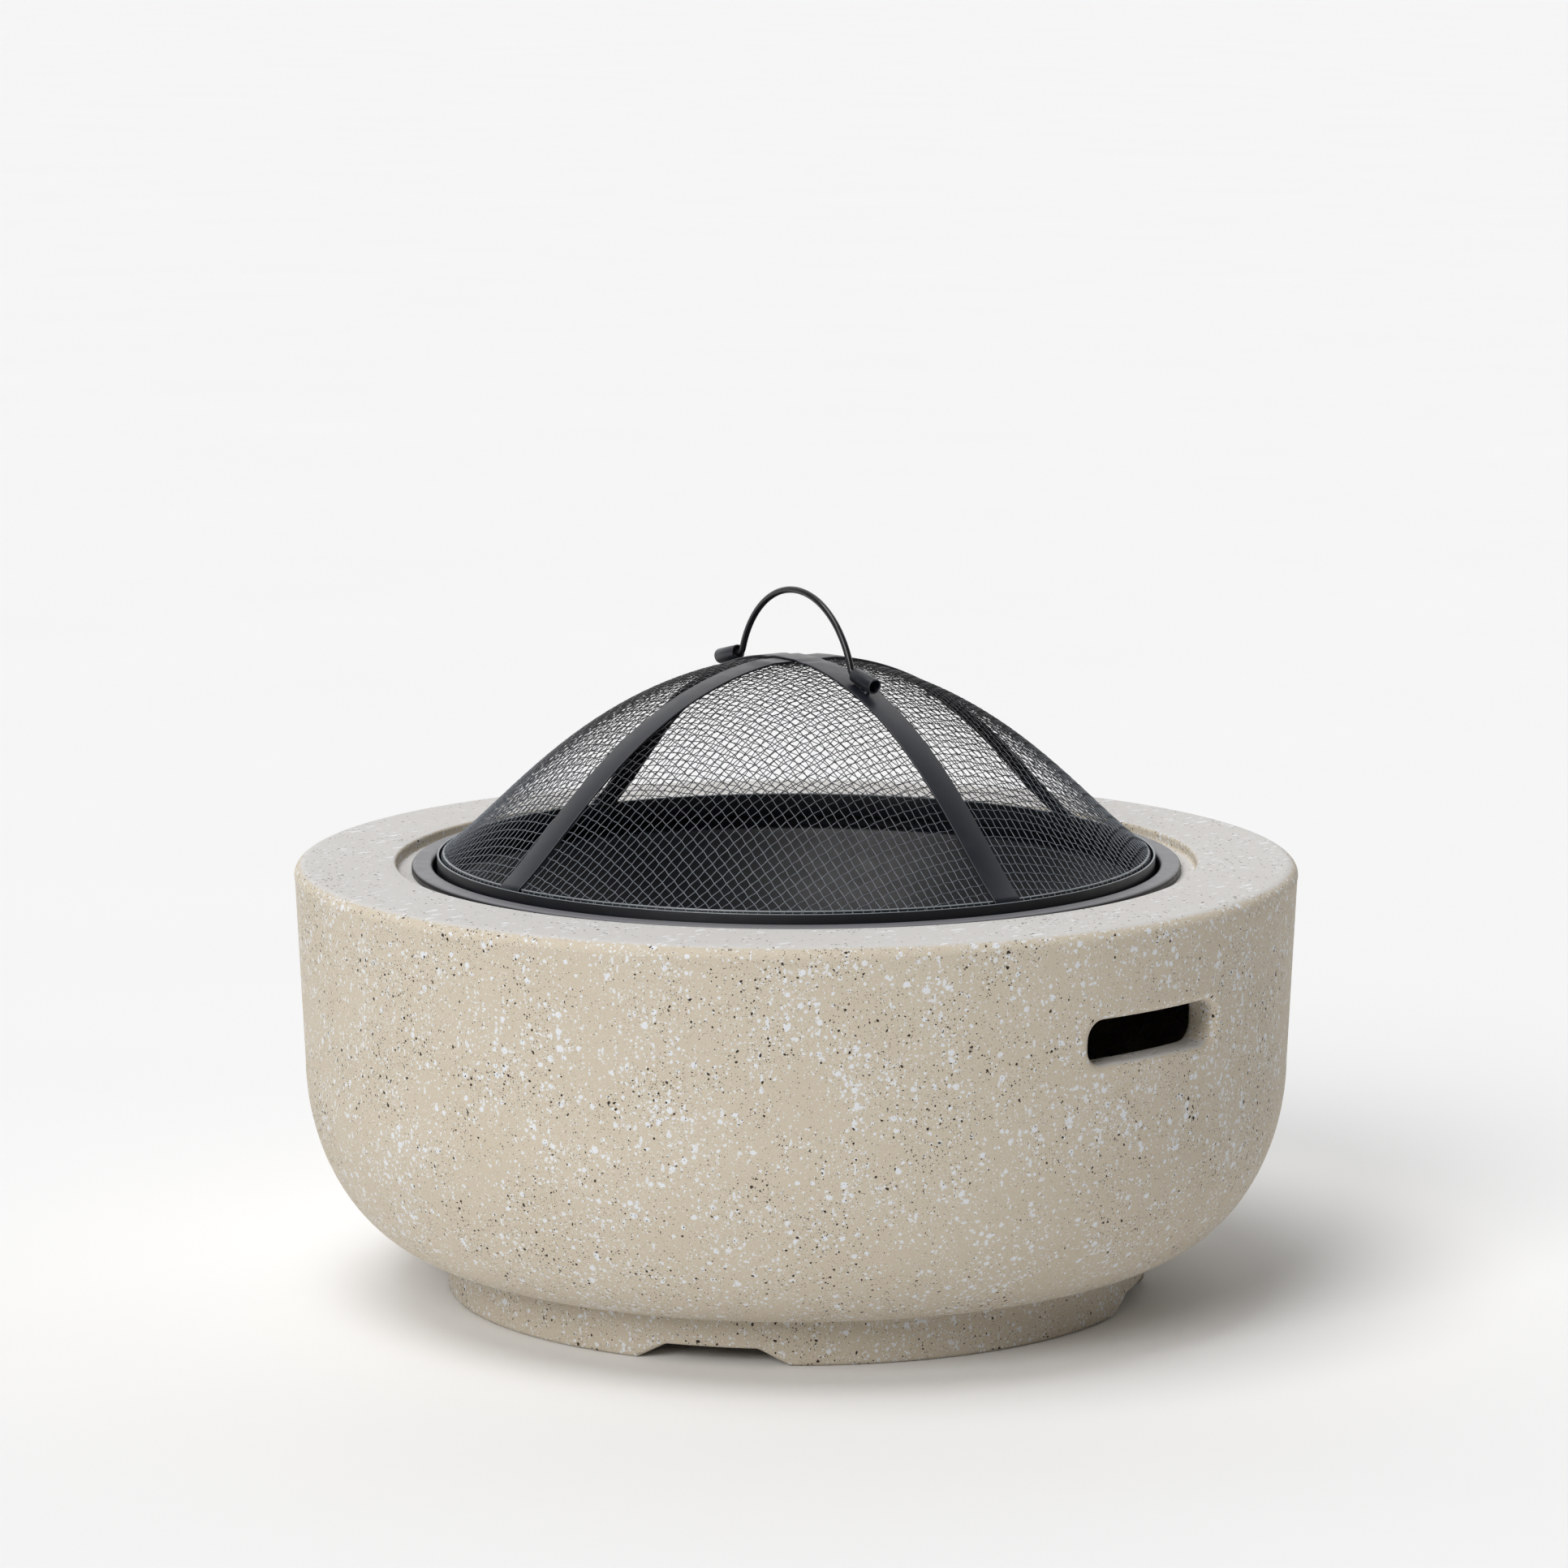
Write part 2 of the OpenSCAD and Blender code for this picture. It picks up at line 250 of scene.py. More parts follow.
class Shader:
    """Small helper that adds nodes to one material."""

    def __init__(self, name):
        self.material = bpy.data.materials.new(name)
        self.material.use_nodes = True
        self.tree = self.material.node_tree
        self.bsdf = self.tree.nodes["Principled BSDF"]
        self.coords = self.tree.nodes.new("ShaderNodeTexCoord").outputs["Object"]

    def node(self, kind, inputs=None, **settings):
        made = self.tree.nodes.new(kind)
        for key, value in settings.items():
            setattr(made, key, value)
        for key, value in (inputs or {}).items():
            if isinstance(value, bpy.types.NodeSocket):
                self.tree.links.new(value, made.inputs[key])
            else:
                made.inputs[key].default_value = value
        return made

    def link(self, source, target):
        self.tree.links.new(source, target)

    def noise(self, scale, detail=2.0, roughness=0.5, coords=None):
        made = self.node("ShaderNodeTexNoise",
                         {"Vector": coords or self.coords, "Scale": scale, "Detail": detail, "Roughness": roughness})
        return made.outputs["Fac"]

    def math(self, operation, a, b=0.0, clamp=False):
        return self.node("ShaderNodeMath", {0: a, 1: b}, operation=operation, use_clamp=clamp).outputs[0]

    def remap(self, value, low, high, to_low=0.0, to_high=1.0, smooth=False):
        made = self.node("ShaderNodeMapRange",
                         {"Value": value, "From Min": low, "From Max": high, "To Min": to_low, "To Max": to_high},
                         interpolation_type="SMOOTHSTEP" if smooth else "LINEAR")
        return made.outputs["Result"]

    def mix(self, factor, a, b):
        made = self.node("ShaderNodeMix", data_type="RGBA")
        for socket, value in ((made.inputs[0], factor), (made.inputs[6], a), (made.inputs[7], b)):
            if isinstance(value, bpy.types.NodeSocket):
                self.link(value, socket)
            else:
                socket.default_value = value
        return made.outputs[2]

    def bump(self, height, strength, distance, normal=None):
        inputs = {"Height": height, "Strength": strength, "Distance": distance}
        if normal:
            inputs["Normal"] = normal
        return self.node("ShaderNodeBump", inputs).outputs["Normal"]


def srgb(r, g, b):
    """A colour given as 0-255 screen values, as linear RGBA."""
    def linear(c):
        c /= 255
        return c / 12.92 if c <= 0.04045 else ((c + 0.055) / 1.055) ** 2.4
    return (linear(r), linear(g), linear(b), 1.0)


def speckle(s, coords, scale, share, radius, soft, field):
    """Mask of irregular specks: one in each chosen Voronoi cell, of random size up to radius cells."""
    cells = s.node("ShaderNodeTexVoronoi", {"Vector": coords, "Scale": scale, "Randomness": 1.0})
    pick = s.node("ShaderNodeSeparateColor", {"Color": cells.outputs["Color"]}).outputs[0]
    pick = s.math("ADD", pick, field)
    size = s.remap(pick, 1.0 - share, 1.0, 0.0, radius)
    inner = s.math("MULTIPLY", size, 1.0 - soft)
    return s.remap(cells.outputs["Distance"], size, inner, 0.0, 1.0)


# Speck layers as (cells per metre, share of cells used, largest radius in cells, softness, strength).
WHITE_SPLASHES = ((170, 0.52, 0.40, 0.25, 1), (350, 0.66, 0.44, 0.3, 1), (660, 0.64, 0.43, 0.35, 1),
                  (1200, 0.5, 0.45, 0.5, 0.8))
WHITE_SMEARS = ((300, 0.42, 0.36, 0.4, 0.9),)
BLACK_SPECKS = ((300, 0.27, 0.33, 0.2, 1), (560, 0.50, 0.34, 0.25, 1), (1100, 0.48, 0.40, 0.35, 1))
TOP_WHITES = ((150, 0.5, 0.34, 0.3, 0.9), (330, 0.6, 0.44, 0.4, 1))
TOP_DARKS = ((190, 0.30, 0.22, 0.3, 1), (400, 0.52, 0.34, 0.3, 1))


def cast_stone():
    """Spatter-finished cast stone: beige ground, white splashes, black specks, and a paler sanded top."""
    s = Shader("cast_stone")
    wander = s.node("ShaderNodeTexNoise", {"Vector": s.coords, "Scale": 330.0, "Detail": 2.0})
    centred = s.node("ShaderNodeVectorMath", {0: wander.outputs["Color"], 1: (0.5, 0.5, 0.5)}, operation="SUBTRACT")
    push = s.node("ShaderNodeVectorMath", {0: centred.outputs[0], "Scale": 0.0026}, operation="SCALE")
    ragged = s.node("ShaderNodeVectorMath", {0: s.coords, 1: push.outputs[0]}, operation="ADD").outputs[0]
    smear = s.node("ShaderNodeMapping", {"Vector": ragged, "Rotation": (0.5, 0.35, 0.9), "Scale": (1.0, 0.38, 0.9)})
    streak = s.node("ShaderNodeMapping", {"Vector": ragged, "Rotation": (-0.6, 0.8, 0.2), "Scale": (0.9, 1.0, 0.35)})

    clusters = s.remap(s.noise(30.0, 3.0, 0.6), 0.3, 0.7, -0.15, 0.15)
    dark_clusters = s.remap(s.noise(21.0, 3.0, 0.6, ragged), 0.3, 0.7, -0.2, 0.15)
    clouds = s.noise(9.0, 3.0, 0.6)
    grain = s.noise(1400.0, 3.0, 0.7)
    normal = s.node("ShaderNodeNewGeometry").outputs["Normal"]
    upward = s.node("ShaderNodeSeparateXYZ", {"Vector": normal}).outputs[2]
    top = s.remap(upward, 0.75, 0.97, 0.0, 1.0, smooth=True)

    def layers(coords, table, field):
        mask = None
        for scale, share, radius, soft, strength in table:
            layer = speckle(s, coords, scale, share, radius, soft, field)
            if strength < 1:
                layer = s.math("MULTIPLY", layer, strength)
            mask = s.math("MAXIMUM", mask, layer) if mask else layer
        return mask

    white = layers(ragged, WHITE_SPLASHES, clusters)
    for stretched in (smear, streak):
        white = s.math("MAXIMUM", white, layers(stretched.outputs[0], WHITE_SMEARS, clusters))
    black = layers(ragged, BLACK_SPECKS, dark_clusters)

    side = s.mix(clouds, srgb(211, 200, 182), srgb(204, 193, 174))
    side = s.mix(s.remap(grain, 0.3, 0.75, 0.0, 0.4), side, srgb(184, 170, 147))
    side = s.mix(s.math("MULTIPLY", white, 0.9), side, srgb(228, 231, 236))
    side = s.mix(black, side, s.mix(s.noise(75.0), srgb(26, 20, 18), srgb(72, 58, 48)))

    sanded = s.mix(clouds, srgb(212, 210, 208), srgb(205, 202, 199))
    sanded = s.mix(s.remap(grain, 0.35, 0.75, 0.0, 0.3), sanded, srgb(184, 179, 172))
    sanded = s.mix(s.math("MULTIPLY", layers(smear.outputs[0], TOP_WHITES, clusters), 0.8), sanded, srgb(233, 234, 238))
    sanded = s.mix(layers(streak.outputs[0], TOP_DARKS, dark_clusters), sanded, srgb(84, 77, 71))

    s.link(s.mix(top, side, sanded), s.bsdf.inputs["Base Color"])
    rough = s.remap(s.noise(140.0, 3.0), 0.3, 0.7, 0.66, 0.85)
    s.link(s.math("SUBTRACT", rough, s.math("MULTIPLY", white, 0.1)), s.bsdf.inputs["Roughness"])
    s.bsdf.inputs["Specular IOR Level"].default_value = 0.3
    relief = s.math("SUBTRACT", s.math("MULTIPLY", white, 0.4), s.math("MULTIPLY", black, 0.5))
    height = s.math("ADD", relief, s.math("MULTIPLY", s.noise(700.0, 4.0, 0.65), 0.8))
    fine = s.bump(height, 0.3, 0.0004)
    s.link(s.bump(s.noise(22.0, 3.0), 0.2, 0.0015, fine), s.bsdf.inputs["Normal"])
    return s.material


def coated_steel(name, dark, light, roughness, grain_scale, grain_depth,
                 dust=0.1, specular=0.5, painted_highlight_by_height=None, painted_top_highlight=None):
    """Baked-on coating: slight colour drift, grain from the powder, dust in the low places.

    painted_highlight_by_height is a painted highlight colour that fades along the height: (colour, height it is full
    at, height it ends at).
    painted_top_highlight is a painted highlight colour laid on upward faces, where light from above catches the edges.
    """
    s = Shader(name)
    colour = s.mix(s.noise(45.0, 3.0, 0.6), dark, light)
    # Painted highlight: a lighter colour, full at one height and gone by another, stands in for light caught there.
    if painted_highlight_by_height:
        height = s.node("ShaderNodeSeparateXYZ", {"Vector": s.coords}).outputs[2]
        colour = s.mix(s.remap(height, painted_highlight_by_height[1], painted_highlight_by_height[2], 1.0, 0.0, smooth=True), colour, painted_highlight_by_height[0])
    # Painted highlight: faces that look upward are mixed toward a lighter colour.
    if painted_top_highlight:
        normal = s.node("ShaderNodeNewGeometry").outputs["Normal"]
        upward = s.node("ShaderNodeSeparateXYZ", {"Vector": normal}).outputs[2]
        colour = s.mix(s.remap(upward, 0.3, 0.7, 0.0, 1.0), colour, painted_top_highlight)
    colour = s.mix(s.remap(s.noise(320.0, 4.0, 0.7), 0.55, 0.82, 0.0, dust), colour, srgb(92, 90, 88))
    s.link(colour, s.bsdf.inputs["Base Color"])
    patchy = s.remap(s.noise(90.0, 3.0, 0.6), 0.3, 0.7, roughness - 0.05, roughness + 0.06)
    s.link(patchy, s.bsdf.inputs["Roughness"])
    s.bsdf.inputs["Specular IOR Level"].default_value = specular
    s.link(s.bump(s.noise(grain_scale, 3.0, 0.6), 0.4, grain_depth), s.bsdf.inputs["Normal"])
    return s.material


STONE = cast_stone()
# The flange top is painted light grey: a painted sheen for the grazing reflection of light from above.
BOWL_BLACK = coated_steel("bowl_black", srgb(8, 9, 13), srgb(12, 14, 20), 0.40, 700.0, 0.00004, 0.02, 0.3,
                          painted_highlight_by_height=(srgb(114, 114, 118), FLANGE_Z - 0.3 * MM, FLANGE_Z - 1.3 * MM))
FRAME_STEEL = coated_steel("frame_steel", srgb(14, 17, 25), srgb(20, 25, 36), 0.38, 1700.0, 0.00006, 0.05, 0.7)
# The hoops' upward edges carry a painted highlight.
HOOP_STEEL = coated_steel("hoop_steel", srgb(13, 15, 20), srgb(19, 22, 29), 0.36, 1700.0, 0.00006, 0.05, 0.6,
                          painted_top_highlight=srgb(128, 134, 138))
# The lower mesh wires are painted lighter than those at the crown: a painted highlight for the light the low wires
# catch.
WIRE_BLACK = coated_steel("wire_black", srgb(24, 25, 28), srgb(38, 40, 44), 0.28, 1500.0, 0.00004, 0.1, 1.0,
                          painted_highlight_by_height=(srgb(92, 98, 106), 0.275, 0.345))
HANDLE_BLACK = coated_steel("handle_black", srgb(15, 16, 18), srgb(22, 23, 27), 0.30, 1500.0, 0.00005, 0.04, 0.6)
GRATE_BLACK = coated_steel("grate_black", srgb(22, 20, 19), srgb(34, 31, 29), 0.6, 420.0, 0.00030, 0.2)

# ---------------------------------------------------------------- stone body


def stone_outline():
    """The stone's half section as (radius, height), from the underside's centre out, up and back in."""
    inner_r = SHOULDER_R - WALL_T
    lean = WALL_LEAN / (STONE_H - SHOULDER_Z)
    inner_top_r = inner_r + lean * (LIP_Z - SHOULDER_Z)
    foot_edge = 3 * MM
    points = [(r * MM, UNDER_H) for r in (0, 40, 80, 120, 150, 170, 180)]
    points += arc(FOOT_IN_R - 3 * MM, UNDER_H - 3 * MM, 3 * MM, 3 * MM, 90, 0, 4)
    points += [(FOOT_IN_R, 6 * MM)]
    points += arc(FOOT_IN_R + foot_edge, foot_edge, foot_edge, foot_edge, 180, 270, 4)
    points += [(FOOT_IN_R + 7 * MM, 0), (FOOT_R - 7 * MM, 0)]
    points += arc(FOOT_R - foot_edge, foot_edge, foot_edge, foot_edge, 270, 360, 4)
    points += [(FOOT_R, z * MM) for z in (7, 13, 19, 24)]
    points += arc(FOOT_R + 2 * MM, FOOT_H - 2 * MM, 2 * MM, 2 * MM, 180, 105, 3)
    points += arc(FOOT_R, SHOULDER_Z, SHOULDER_R - FOOT_R, SHOULDER_Z - FOOT_H, -86, 0, 30)
    points += [(outer_wall_r(z), z) for z in WALL_ROWS]
    points += arc(STONE_R - RIM_ROUND, STONE_H - RIM_ROUND, RIM_ROUND, RIM_ROUND, 0, 90, 8)
    points += [(STONE_R - 12 * MM, STONE_H), (STONE_R - 30 * MM, STONE_H), (OPENING_R + 8 * MM, STONE_H)]
    points += arc(OPENING_R + OPENING_ROUND, STONE_H - OPENING_ROUND, OPENING_ROUND, OPENING_ROUND, 90, 180, 5)
    points += [(OPENING_R, LEDGE_Z + 2 * MM), (OPENING_R - 0.4 * MM, LEDGE_Z + 0.4 * MM)]
    points += [(OPENING_R - 2 * MM, LEDGE_Z), (LEDGE_IN_R + 2 * MM, LEDGE_Z)]
    points += arc(LEDGE_IN_R + 1 * MM, LEDGE_Z - 1 * MM, 1 * MM, 1 * MM, 90, 180, 2)
    points += [(LEDGE_IN_R, LEDGE_Z - 5 * MM), (LEDGE_IN_R, LIP_Z + 5 * MM)]
    points += arc(LEDGE_IN_R + 3 * MM, LIP_Z + 3 * MM, 3 * MM, 3 * MM, 180, 270, 3)
    points += [(LEDGE_IN_R + 12 * MM, LIP_Z), (inner_top_r - 4 * MM, LIP_Z), (inner_top_r - 1 * MM, LIP_Z - 1 * MM)]
    points += [(inner_wall_r(z), z) for z in reversed(PATCH_ROWS)]
    points += arc(FOOT_R, SHOULDER_Z, inner_r - FOOT_R, SHOULDER_Z - FLOOR_Z, 0, -90, 24)
    points += [(r * MM, FLOOR_Z) for r in (190, 160, 120, 80, 40, 0)]
    return points


def outer_wall_r(z):
    return SHOULDER_R + WALL_LEAN * (z - SHOULDER_Z) / (STONE_H - SHOULDER_Z)


def inner_wall_r(z):
    return outer_wall_r(z) - WALL_T


# Heights of the wall's rows of vertices. The patch rows span the hand holes.
PATCH_LOW, PATCH_HIGH, PATCH_STEPS = 168.5 * MM, 220.5 * MM, 12
PATCH_ROWS = [PATCH_LOW + (PATCH_HIGH - PATCH_LOW) * i / PATCH_STEPS for i in range(PATCH_STEPS + 1)]
WALL_ROWS = [148 * MM, 155 * MM, 162 * MM] + PATCH_ROWS + [z * MM for z in (227, 234, 241, 247, 250.5)]
PATCH_HALF = 14  # degrees each side of a hand hole


def stone_columns():
    """Directions of the stone's columns of vertices: fine at hand holes and notch corners."""
    outer = math.degrees(math.asin(NOTCH_BASE / FOOT_R))
    inner = math.degrees(math.asin(NOTCH_TOP / FOOT_R))
    offsets = [0, inner / 3, 2 * inner / 3, inner - 0.5, inner, inner + 0.5,
               (inner + outer) / 2, outer - 0.5, outer, outer + 0.5]
    columns = {float(c % 360) for hole in (0, 180) for c in range(hole - PATCH_HALF, hole + PATCH_HALF + 1)}
    for k in range(4):
        centre = NOTCH_TURN + 90 * k
        columns |= {round((centre + side * o) % 360, 4) for side in (-1, 1) for o in offsets}
    ordered = sorted(columns)
    filled = []
    for a, b in zip(ordered, ordered[1:] + [ordered[0] + 360]):
        gaps = max(1, round((b - a) / 2.5))
        filled += [(a + (b - a) * k / gaps) % 360 for k in range(gaps)]
    return sorted(filled)


def notch_rise(turn):
    """How far the foot ring's lower face is raised at a direction in degrees."""
    outer = math.degrees(math.asin(NOTCH_BASE / FOOT_R))
    inner = math.degrees(math.asin(NOTCH_TOP / FOOT_R))
    away = abs((turn - NOTCH_TURN + 45) % 90 - 45)
    t = min(1.0, max(0.0, (outer - away) / (outer - inner)))
    soft = 0.06
    if t < soft:
        t = t * t / (2 * soft) if t > 0 else 0.0
    elif t > 1 - soft:
        t = 1 - soft / 2 - (1 - t) ** 2 / (2 * soft)
    return NOTCH_H * t


def hole_point(u, v, grow):
    """A point of the hand hole's rounded outline for (u, v) on the unit square's edge."""
    half_w, half_h, r = HAND_HOLE_W / 2 + grow, HAND_HOLE_H / 2 + grow, HAND_HOLE_R + grow
    y, z = u * half_w, v * half_h
    cy, cz = half_w - r, half_h - r
    if abs(y) > cy and abs(z) > cz:
        corner = Vector((math.copysign(cy, y), math.copysign(cz, z)))
        away = Vector((y, z)) - corner
        point = corner + away.normalized() * r
        return point.x, point.y
    return y, z


def build_stone():
    outline = stone_outline()
    columns = stone_columns()
    rows = len(outline)
    count = len(columns)
    verts, index = [], {}
    for i, (r, z) in enumerate(outline):
        for j, turn in enumerate(columns):
            if r < 1e-7:
                if j == 0:
                    verts.append(Vector((0, 0, z)))
                index[i, j] = len(verts) - 1
                continue
            rise = notch_rise(turn)
            if z < FOOT_H and r > FOOT_IN_R - 1e-6 and r < FOOT_R + 1e-6:
                reach = FOOT_H if r > (FOOT_IN_R + FOOT_R) / 2 else UNDER_H
                z_here = z + rise * max(0.0, 1 - z / reach)
            else:
                z_here = z
            angle = math.radians(turn)
            index[i, j] = len(verts)
            verts.append(Vector((r * math.cos(angle), r * math.sin(angle), z_here)))

    row_of = {"outer": None, "inner": None}
    for i, (r, z) in enumerate(outline):
        if abs(z - PATCH_LOW) < 1e-9 and abs(r - outer_wall_r(z)) < 1e-9:
            row_of["outer"] = (i, i + PATCH_STEPS, 1)
        if abs(z - PATCH_HIGH) < 1e-9 and abs(r - inner_wall_r(z)) < 1e-9:
            row_of["inner"] = (i + PATCH_STEPS, i, -1)

    holes = []
    for centre in (0, 180):
        left = columns.index(float((centre - PATCH_HALF) % 360))
        holes.append((centre, [(left + k) % count for k in range(2 * PATCH_HALF + 1)]))

    skipped = set()
    for centre, cols in holes:
        for low, high, step in row_of.values():
            for i in range(min(low, high), max(low, high)):
                skipped |= {(i, j) for j in cols[:-1]}

    faces = []
    for i in range(rows - 1):
        for j in range(count):
            if (i, j) in skipped:
                continue
            k = (j + 1) % count
            loop = []
            for v in (index[i, j], index[i, k], index[i + 1, k], index[i + 1, j]):
                if v not in loop:
                    loop.append(v)
            if len(loop) > 2:
                faces.append(loop)

    for centre, cols in holes:
        spin = Matrix.Rotation(math.radians(centre), 3, "Z")

        def boundary(where):
            low, high, step = row_of[where]
            up = list(range(low, high + step, step))
            path = [(low, c) for c in cols]
            path += [(i, cols[-1]) for i in up[1:]]
            path += [(high, c) for c in reversed(cols[:-1])]
            path += [(i, cols[0]) for i in reversed(up[1:-1])]
            return [index[p] for p in path]

        outer_loop, inner_loop = boundary("outer"), boundary("inner")
        middle_z, half_z = (PATCH_LOW + PATCH_HIGH) / 2, (PATCH_HIGH - PATCH_LOW) / 2
        places = []
        for v in outer_loop:
            p = spin.inverted() @ verts[v]
            u = math.degrees(math.atan2(p.y, p.x)) / PATCH_HALF
            places.append((max(-1, min(1, u)), max(-1, min(1, (p.z - middle_z) / half_z))))

        def ring(grow, depth, wall_r, loop=None, blend=0.0):
            """Vertices round the hole. depth is measured inwards from the wall; blend pulls them to a loop."""
            made = []
            for n, (u, v) in enumerate(places):
                y, z = hole_point(u, v, grow)
                z += HAND_HOLE_Z
                if loop:
                    p = spin.inverted() @ verts[loop[n]]
                    y, z = y + (p.y - y) * blend, z + (p.z - z) * blend
                x = math.sqrt(wall_r(z) ** 2 - y * y) - depth
                made.append(len(verts))
                verts.append(spin @ Vector((x, y, z)))
            return made

        flare, inner_round = HAND_HOLE_FLARE, 3 * MM
        rings = [outer_loop]
        rings.append(ring(flare, 0, outer_wall_r, outer_loop, 0.62))
        rings.append(ring(flare, 0, outer_wall_r, outer_loop, 0.25))
        rings.append(ring(flare + 0.5 * MM, 0, outer_wall_r))
        for k in range(7):
            t = math.radians(15 * k)
            rings.append(ring(flare * (1 - math.sin(t)), flare * (1 - math.cos(t)), outer_wall_r))
        for depth in (9, 13, 17):
            rings.append(ring(0, depth * MM, outer_wall_r))
        for k in range(4):
            t = math.radians(30 * k)
            rings.append(ring(inner_round * (1 - math.cos(t)), -inner_round * (1 - math.sin(t)), inner_wall_r))
        rings.append(ring(inner_round, 0, inner_wall_r, inner_loop, 0.5))
        rings.append(inner_loop)
        n = len(outer_loop)
        for a, b in zip(rings, rings[1:]):
            faces += [(a[k], a[(k + 1) % n], b[(k + 1) % n], b[k]) for k in range(n)]
    return place(mesh_object("cast_stone_body", verts, faces, STONE), "stone", "cast_stone", "stone_body")


# ---------------------------------------------------------------- fire bowl


def build_bowl():
    sphere_r = (DISH_R ** 2 + DISH_DEPTH ** 2) / (2 * DISH_DEPTH)
    centre_z = GUARD_LEDGE_Z - DISH_DEPTH + sphere_r
    half = math.degrees(math.asin(DISH_R / sphere_r))
    under_r = sphere_r + SHEET
    under_ledge_z = GUARD_LEDGE_Z - SHEET
    under_half = math.degrees(math.acos((centre_z - under_ledge_z) / under_r))
    edge = 2.2 * MM
    round_x, round_z = COLLAR_R + COLLAR_ROUND, FLANGE_Z - COLLAR_ROUND
    outline = arc(0, centre_z, sphere_r, sphere_r, -90, half - 91, 44)
    outline += [(DISH_R - 0.5 * MM, GUARD_LEDGE_Z - 0.9 * MM), (DISH_R + 0.8 * MM, GUARD_LEDGE_Z)]
    outline += [(DISH_R + 3 * MM, GUARD_LEDGE_Z), (COLLAR_R - 2.5 * MM, GUARD_LEDGE_Z)]
    outline += arc(COLLAR_R - 1.5 * MM, GUARD_LEDGE_Z + 1.5 * MM, 1.5 * MM, 1.5 * MM, -90, 0, 3)
    outline += [(COLLAR_R, GUARD_LEDGE_Z + 4 * MM)]
    outline += arc(round_x, round_z, COLLAR_ROUND, COLLAR_ROUND, 180, 90, 7)
    outline += [(round_x + 2 * MM, FLANGE_Z), (FLANGE_R - edge - 1.5 * MM, FLANGE_Z)]
    outline += arc(FLANGE_R - edge, FLANGE_Z - edge, edge, edge, 90, 0, 5)
    outline += [(FLANGE_R, LEDGE_Z + 0.3 * MM), (FLANGE_R - 0.6 * MM, LEDGE_Z), (FLANGE_R - SHEET, LEDGE_Z + 0.3 * MM)]
    outline += [(FLANGE_R - SHEET, FLANGE_Z - edge), (FLANGE_R - edge, FLANGE_Z - SHEET)]
    outline += [(round_x + 2 * MM, FLANGE_Z - SHEET)]
    outline += arc(round_x, round_z, COLLAR_ROUND - SHEET, COLLAR_ROUND - SHEET, 90, 180, 4)
    outline += [(COLLAR_R + SHEET, under_ledge_z + 2 * MM), (COLLAR_R + 0.4 * MM, under_ledge_z)]
    outline += [(COLLAR_R - 3 * MM, under_ledge_z)]
    outline += arc(0, centre_z, under_r, under_r, under_half - 90, -90, 36)

    def wobble(r, z, turn):
        """Pressed sheet is never quite true: the flange waves by a fraction of a millimetre."""
        wave = noise.noise(Vector((math.cos(turn) * 2.1, math.sin(turn) * 2.1, 0.3)))
        share = max(0.0, (r - COLLAR_R) / (FLANGE_R - COLLAR_R)) if z > LEDGE_Z - 1 * MM else 0.0
        return -0.5 * MM * share * (1 + wave), 0.0

    verts, faces = revolve_mesh(outline, 288, wobble)
    return place(mesh_object("pressed_bowl", verts, faces, BOWL_BLACK), "bowl", "bowl_steel", "fire_bowl")


# ---------------------------------------------------------------- spark guard


def dome_z(r):
    """Height of the mesh dome's lower surface at radius r."""
    t = r / MESH_R
    fall = t * t * (1 + DOME_FULLNESS * (1 - t * t) * t ** 4)
    return BAND_HIGH.z + DOME_RISE - max(CROWN_PRESS, DOME_RISE * fall)


def hoop_outline(outer, thick, low, high, edge):
    """An upright hoop's section with rounded edges."""
    inner = outer - thick
    points = arc(outer - edge, low + edge, edge, edge, -90, 0, 2)
    points += arc(outer - edge, high - edge, edge, edge, 0, 90, 3)
    points += arc(inner + edge, high - edge, edge, edge, 90, 180, 3)
    return points + arc(inner + edge, low + edge, edge, edge, 180, 270, 2)


GUARD_FRAME = Matrix.Rotation(GUARD_TURN, 4, "Z")


def build_hoops():
    edge = 0.45 * MM

    def ripple(amount, seed):
        def wobble(r, z, turn):
            wave = noise.noise(Vector((math.cos(turn) * 3, math.sin(turn) * 3, seed)))
            return -amount * (0.5 + 0.5 * wave), 0.0
        return wobble

    outline = hoop_outline(BAND_R, BAND_T, BAND_LOW.z, BAND_HIGH.z, edge)
    band = revolve_mesh(outline, 256, ripple(0.25 * MM, 1.7))
    place(mesh_object("outer_hoop", *band, HOOP_STEEL), "guard", "coated_steel", "hoop_band")
    thick = 1.9 * MM
    crown = CLAMP_HIGH.z + 0.8 * MM  # the inner hoop's rounded top stands just above the outer hoop
    outline = hoop_outline(CLAMP_HIGH.x, thick, CLAMP_LOW.z, crown, 0.9 * MM)
    clamp = revolve_mesh(outline, 256, ripple(0.2 * MM, 5.1))
    place(mesh_object("inner_hoop", *clamp, HOOP_STEEL), "guard", "coated_steel", "clamp_ring")


def strap_path(raise_by):
    """Centre line of a strap's underside in its own X-Z plane."""
    points = []
    end_x = MESH_R + 0.1 * MM
    steps = 110
    for k in range(-steps, steps + 1):
        x = end_x * k / steps
        over = raise_by * min(1.0, max(0.0, (STRAP_LIFT_OUT - abs(x)) / STRAP_LIFT_RAMP))
        points.append(Vector((x, 0, dome_z(abs(x)) + MESH_T + over)))
    foot = [Vector((end_x, 0, z)) for z in (BAND_HIGH.z - 1.5 * MM, SKIRT_Z + 6 * MM, SKIRT_Z + 1 * MM)]
    start = [Vector((-p.x, 0, p.z)) for p in reversed(foot)]
    return start + points + foot


